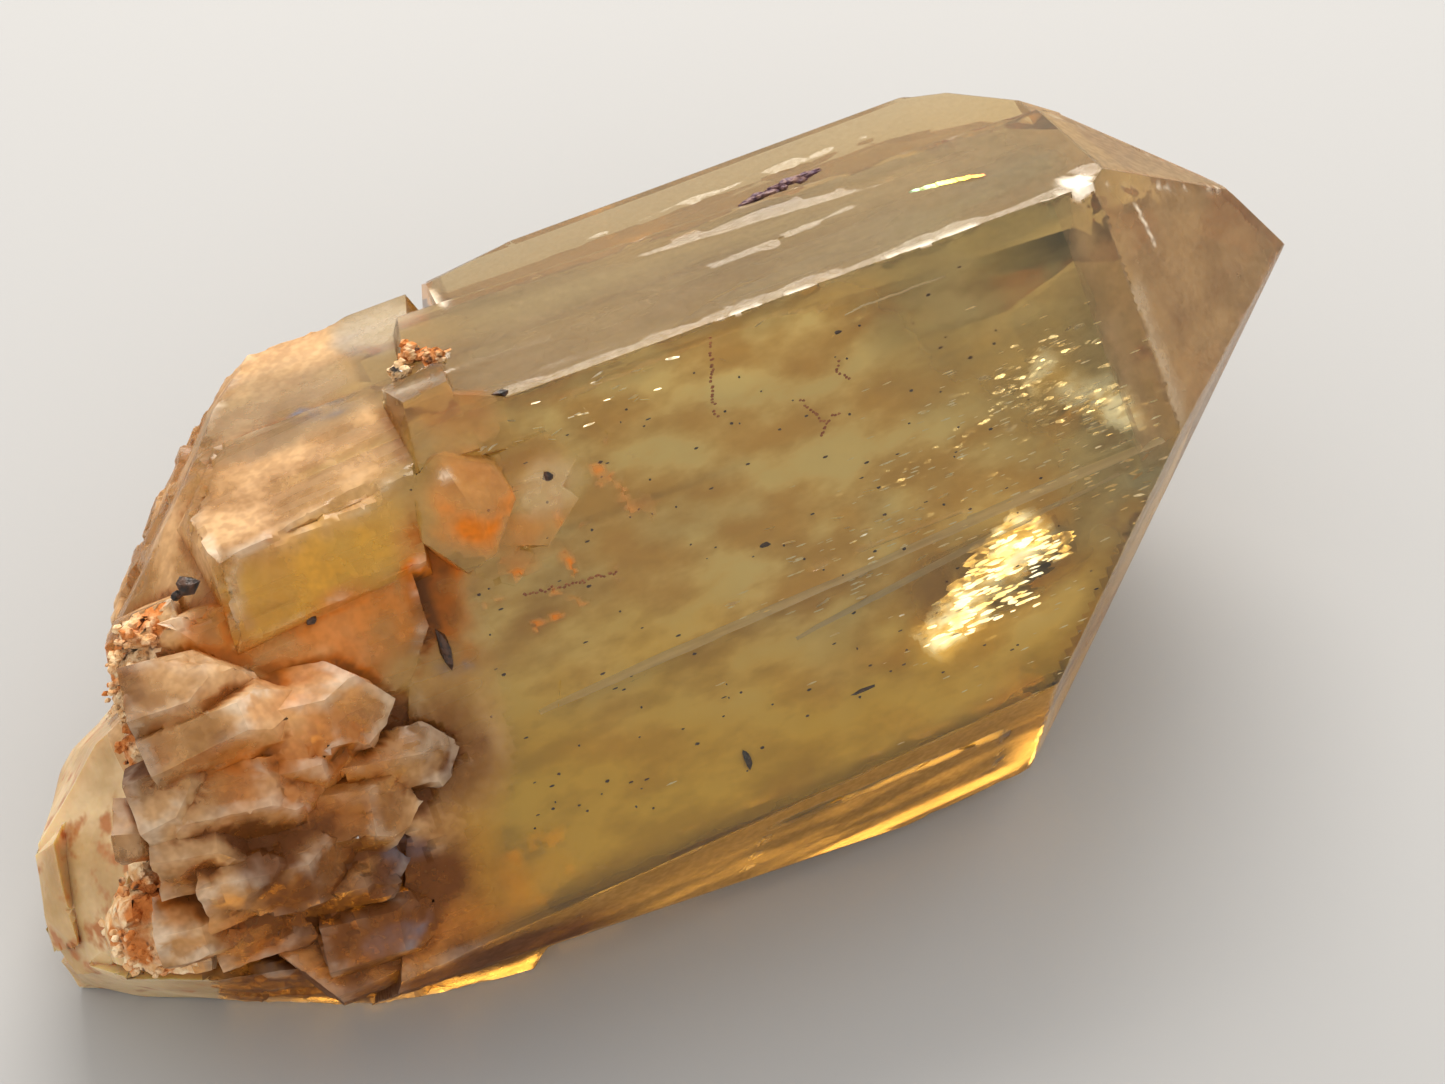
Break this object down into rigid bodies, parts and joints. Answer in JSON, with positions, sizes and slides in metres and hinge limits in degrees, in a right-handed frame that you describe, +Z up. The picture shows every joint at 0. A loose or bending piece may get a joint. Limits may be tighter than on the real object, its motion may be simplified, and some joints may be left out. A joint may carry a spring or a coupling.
{
  "type": "citrine crystal",
  "caption": "Natural citrine crystal lying on its side: a clear golden quartz prism with a pointed end, its broken base crowded with small stained crystals and crust.",
  "frame": {"origin": "middle of the bounding box at its bottom, on the surface that the crystal lies on", "axes": "+X along the length towards the pointed end, +Z up, +Y away from the side with the broad front face"},
  "size_m": [0.0816, 0.0376, 0.0325],
  "materials": {
    "citrine": "clear golden quartz with glassy faces, rust and cream stains at the base"
  },
  "bodies": {
    "root": {"citrine_crystal": "citrine"}
  },
  "joints": []
}
